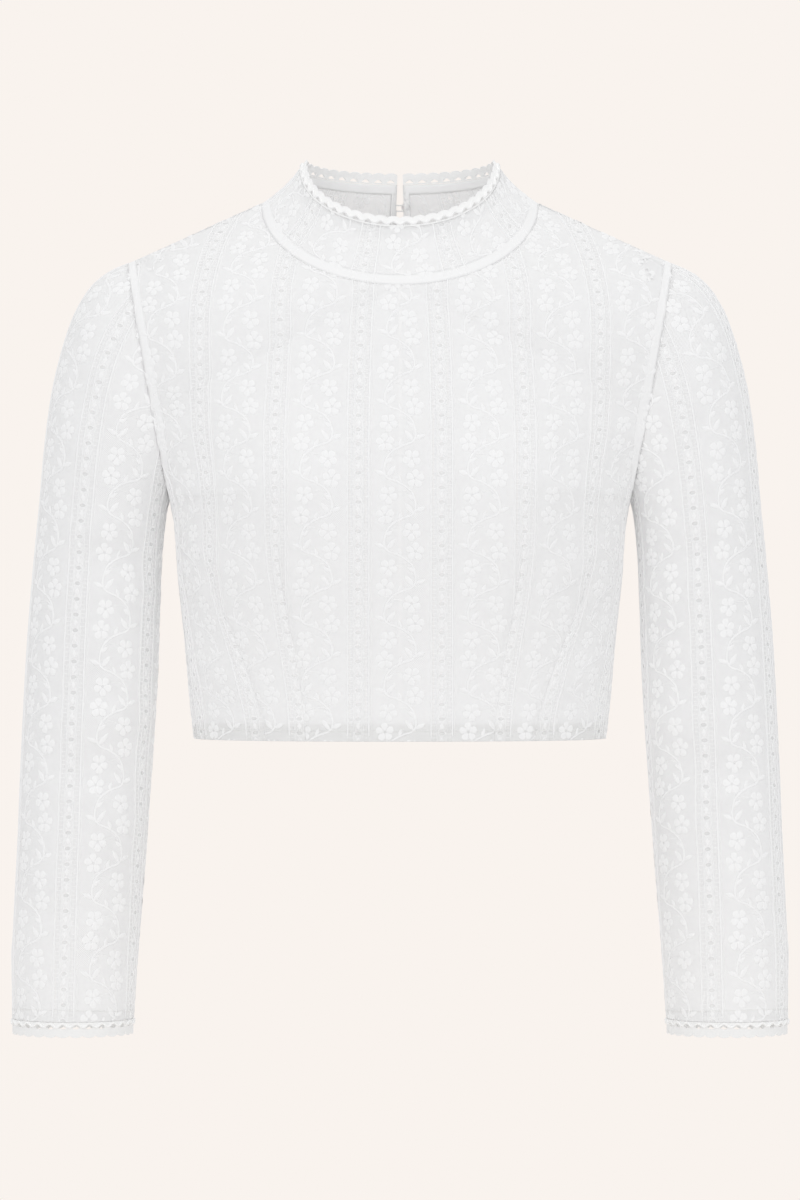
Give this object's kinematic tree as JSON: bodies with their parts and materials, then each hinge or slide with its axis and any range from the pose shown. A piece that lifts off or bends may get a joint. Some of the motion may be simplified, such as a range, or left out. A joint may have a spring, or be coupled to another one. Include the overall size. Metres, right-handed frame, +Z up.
{
  "type": "dirndl blouse",
  "caption": "Cropped long-sleeved lace blouse with a low stand collar, scalloped edging at collar and cuffs, bust darts and a buttoned centre-back opening, filled out as worn.",
  "frame": {"origin": "midway between the two shoulder seams, where the wearer's shoulders carry the blouse", "axes": "+Z up, -Y out of the front, +X towards the wearer's left"},
  "size_m": [0.54, 0.2253, 0.6099],
  "materials": {
    "lace": "sheer white flower lace, soft matt",
    "tape": "plain white tape, matt",
    "edging": "white scalloped edging, soft sheen",
    "button": "pearly white",
    "loop": "white cord"
  },
  "bodies": {
    "root": {"front": "lace", "back_left": "lace", "back_right": "lace", "sleeve_left": "lace", "sleeve_right": "lace", "collar": "lace", "collar_tape": "tape", "neck_seam_tape": "tape", "armhole_tape_left": "tape", "armhole_tape_right": "tape", "collar_edging_left": "edging", "collar_edging_right": "edging", "cuff_edging_left_front": "edging", "cuff_edging_left_back": "edging", "cuff_edging_right_front": "edging", "cuff_edging_right_back": "edging", "button_1": "button", "button_2": "button", "button_3": "button", "button_4": "button", "button_5": "button", "button_6": "button", "button_7": "button", "loop_1": "loop", "loop_2": "loop", "loop_3": "loop", "loop_4": "loop", "loop_5": "loop", "loop_6": "loop", "loop_7": "loop"}
  },
  "joints": []
}
